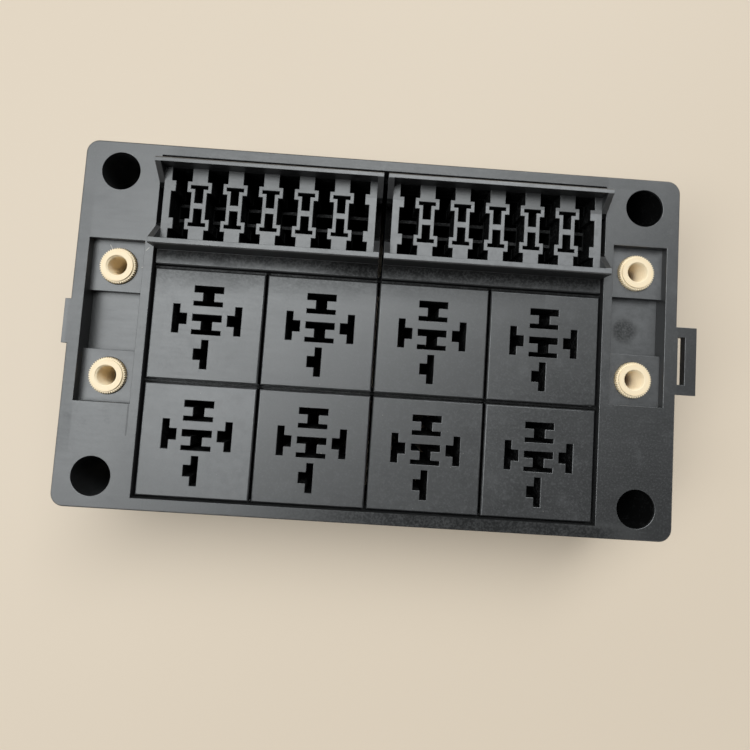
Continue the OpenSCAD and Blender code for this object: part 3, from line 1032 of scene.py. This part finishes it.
def frame_finish() -> MouldedPlastic:
    """Describes the plastic of the base frame.

    Returns:
        The finish, darker along its lips and left edge, with painted shade on the ribs between the rows, in
        its gaps and in its right holes, and worn round its right bay.
    """
    flange: Span = (0.0376, 0.0381)
    front_rib: Span = (-0.0154, -0.0148)
    rear_rib: Span = (0.0157, 0.0163)
    rib_tops: Span = (0.0346, 0.0356)
    gap_half = 0.0005
    gap_run: Span = (-0.0463, 0.0466)
    gap_depths: Span = (0.0320, 0.0356)
    front_lip: Span = (-0.0497, -0.0462)
    front_edge: Span = (-0.0497, -0.0475)
    back_lip: Span = (0.0466, 0.0497)
    left_edge: Span = (-0.0826, -0.0793)
    holes: Span = (0.0670, 0.0781)
    hole_depths: Span = (0.0010, 0.0372)
    bay_floors: Span = (0.0325, 0.0357)
    pin = PinMark((0.0701, 0.0072), BAY_FLOOR, 0.0034, soft=0.15, amount=0.5)
    parting = Line((-0.0644, -0.0215, FLANGE_TOP), (-0.0644, -0.0300, FLANGE_TOP), 0.0003)
    fibres = (
        Line((-0.0746, 0.0211, PAD_TOP), (-0.0739, 0.0200, PAD_TOP), 0.00026),
        Line((-0.0655, 0.0154, PAD_TOP), (-0.0649, 0.0157, PAD_TOP), 0.0002),
        Line((-0.0630, 0.0205, FLANGE_TOP), (-0.0637, 0.0197, FLANGE_TOP), 0.00022),
    )
    # Painted shade on the rib tops between the rows of sockets and the fuse modules, darker towards the
    # right
    ribs = (
        BoxPatch(WELL_X, front_rib, rib_tops, 0.9, 1.7, Run.ALONG),
        BoxPatch(WELL_X, rear_rib, rib_tops, 0.9, 1.5, Run.ALONG),
    )
    # Painted shade on the rail seen down the gaps between the sockets
    gaps = (
        BoxPatch((x - gap_half, x + gap_half), gap_run, gap_depths, 1.6, 1.6)
        for x in (-SOCKET_PITCH, 0.0, SOCKET_PITCH)
    )
    # Darker along the front lip, most in the middle and right, and a little along the back lip and the left
    # edge
    lips = (
        BoxPatch((-0.0450, 0.0250), front_lip, flange, 0.0, 1.15, Run.ALONG),
        BoxPatch((0.0252, 0.0600), front_lip, flange, 1.15, 1.1, Run.ALONG),
        BoxPatch(
            (0.0602, 0.0780), front_edge, flange, 1.1, 0.0, Run.ALONG, (PATCH_FADE, 0.003, PATCH_FADE)
        ),
        BoxPatch((-0.0560, 0.0700), back_lip, flange, 0.11, 0.11, fades=(0.006, 0.0006, PATCH_FADE)),
        BoxPatch(left_edge, (-0.0320, 0.0320), flange, 0.08, 0.08, fades=(0.0006, 0.006, PATCH_FADE)),
    )
    # Painted shade that blacks out the inside of the right corner holes
    right_holes = (
        BoxPatch(holes, side, hole_depths, PITCH_BLACK, PITCH_BLACK)
        for side in ((0.0357, 0.0469), (-0.0469, -0.0357))
    )
    return MouldedPlastic(
        "frame_plastic",
        roughness=0.45,
        grain=Grain.SPARK_ERODED,
        scuff=0.5,
        dust=0.05,
        marks=(pin, parting),
        fibres=fibres,
        grime_and_shade=(*ribs, *gaps, *lips, replace(pin, soft=0.45, amount=0.75), *right_holes),
        worn=(
            BoxPatch((0.0640, 0.0792), (-0.0142, 0.0308), bay_floors, 0.24, 0.42),
            BoxPatch((0.0622, 0.0826), (-0.0400, 0.0496), flange, 0.0, 0.16),
        ),
    )


def fuse_finish() -> MouldedPlastic:
    """Describes the plastic of the fuse modules.

    Returns:
        The finish, with a painted shadow of the front rim over grime on the ledges, painted shade on the
        pillars' rear ends and in the cavities, and worn most on the right module.
    """
    ledge_y: Span = (0.0166, 0.0204)
    ledge_z: Span = (0.0357, 0.0370)
    comb_x: Span = (LEFT_MODULE_X[0], RIGHT_MODULE_X[1])
    comb_y: Span = (0.0222, 0.0428)
    shafts: Span = (0.0080, 0.0311)
    cross_ribs: Span = (0.0314, 0.0319)
    cavities: Span = (0.0323, 0.0391)
    pillar_tops: Span = (0.0394, 0.0400)
    pillar_rears: Span = (0.0370, 0.0428)
    pillar_fronts: Span = (0.0222, 0.0380)
    rim_y: Span = (0.0203, 0.0447)
    rim_tops: Span = (0.0430, 0.0441)
    return MouldedPlastic(
        "fuse_plastic",
        roughness=0.45,
        grain=Grain.SPARK_ERODED,
        scuff=0.9,
        dust=0.08,
        grime_and_shade=(
            # Painted shadow of the front rim on the ledges, darkest next to the rim, over grime; the left
            # ledge is also darker towards its right end
            BoxPatch(LEFT_MODULE_X, ledge_y, ledge_z, 0.22, 0.95),
            BoxPatch((-0.0220, LEFT_MODULE_X[1]), ledge_y, ledge_z, 0.0, 0.8, Run.ALONG),
            BoxPatch(RIGHT_MODULE_X, ledge_y, ledge_z, 0.62, 1.35),
            # Painted shade that blacks out the shafts and darkens the cross ribs and the cavities deep in
            # the comb
            BoxPatch(comb_x, comb_y, shafts, PITCH_BLACK, PITCH_BLACK),
            BoxPatch(comb_x, comb_y, cross_ribs, 1.1, 1.1),
            BoxPatch(comb_x, comb_y, cavities, 2.6, 2.6),
            # Painted shadow of the back rim on the pillars' rear ends
            BoxPatch(LEFT_MODULE_X, pillar_rears, pillar_tops, 0.0, 0.12),
            BoxPatch(RIGHT_MODULE_X, pillar_rears, pillar_tops, 0.0, 0.10),
        ),
        worn=(
            BoxPatch(LEFT_MODULE_X, rim_y, rim_tops, 0.0, 0.36, Run.ALONG),
            BoxPatch(RIGHT_MODULE_X, rim_y, rim_tops, 0.40, 0.86, Run.ALONG),
            BoxPatch(LEFT_MODULE_X, pillar_fronts, pillar_tops, 0.0, 0.30, Run.ALONG),
            BoxPatch(RIGHT_MODULE_X, pillar_fronts, pillar_tops, 0.40, 0.85, Run.ALONG),
        ),
    )


def socket_finish() -> MouldedPlastic:
    """Describes the plastic of the relay sockets.

    Returns:
        The finish, with painted shade in the slots, a painted shadow of the fuse rims along the rear row,
        and wear on the front left socket.
    """
    rear_strip: Span = (0.0080, 0.0157)
    rows: Span = (-0.0463, 0.0158)
    faces: Span = (0.0366, 0.0370)
    slots: Span = (0.0250, 0.0362)
    return MouldedPlastic(
        "socket_plastic",
        roughness=0.44,
        grain=Grain.FINE_ETCHED,
        scuff=0.4,
        dust=0.05,
        grime_and_shade=(
            # Painted shadow of the fuse modules' front rims, darker towards the rear edge of the rear row
            BoxPatch((-0.0617, 0.0460), rear_strip, faces, 0.0, 0.3),
            # Painted shade deep in the slots
            BoxPatch(WELL_X, rows, slots, 2.4, 2.4),
        ),
        worn=(BoxPatch((-0.0616, -0.0310), (-0.0459, -0.0155), faces, 0.1, 0.35, Run.ALONG),),
    )


def insert_finish() -> TurnedBrass:
    """Describes the brass of the inserts.

    Returns:
        The finish, pale on the turned faces, its sides a lighter gold that is partly painted light, and
        painted shade deep in the bore, weaker on one side.
    """
    return TurnedBrass(
        "insert_brass",
        face_colour=(0.80, 0.665, 0.465),
        side_and_painted_light_colour=(1.0, 0.86, 0.62),
        dull_colour=(0.80, 0.60, 0.36),
        bore_shade_colour=(0.20, 0.11, 0.05),
        roughness=0.58,
        ring_pitch=0.00012,
    )


def studio() -> Studio:
    """Describes the studio.

    Returns:
        A warm pale floor under one long window light.
    """
    window = SoftBox(
        "window_light",
        turn=130.0,
        tilt=20.0,
        distance=3.0,
        length=7.0,
        width=1.6,
        radiance=5.4,
        colour=(0.95, 0.99, 1.0),
    )
    return Studio(
        PaleFloor("pale_floor", colour=(0.62, 0.52, 0.41), roughness=0.6),
        (window,),
        overhead=(0.06, 0.061, 0.062),
        horizon=(0.35, 0.35, 0.345),
    )


def report(pieces: Iterable[bpy.types.Object]) -> None:
    """Logs each piece with its number of faces."""
    for piece in pieces:
        LOG.info("%s: %d faces", piece.name, len(piece.data.polygons))


def main() -> None:
    """Builds and dresses the box, then the studio round it."""
    logging.basicConfig(level=logging.INFO, format="%(name)s: %(message)s")
    bpy.context.scene.view_settings.view_transform = "Standard"
    sockets = tuple(f"relay_socket_{i + 1}" for i in range(SOCKET_COUNT))
    inserts = ("insert_left_rear", "insert_left_front", "insert_right_rear", "insert_right_front")
    assemblies: list[Mouldings | BrassInserts] = [
        Mouldings(("base_frame",), "frame_plastic", frame_finish()),
        Mouldings(("fuse_module_left", "fuse_module_right"), "fuse_plastic", fuse_finish()),
        Mouldings(sockets, "socket_plastic", socket_finish()),
        BrassInserts(inserts, "insert_brass", insert_finish()),
    ]
    for assembly in assemblies:
        assembly.build()
        assembly.dress()
        report(assembly.pieces)
    studio().build()


if __name__ == "__main__":
    main()
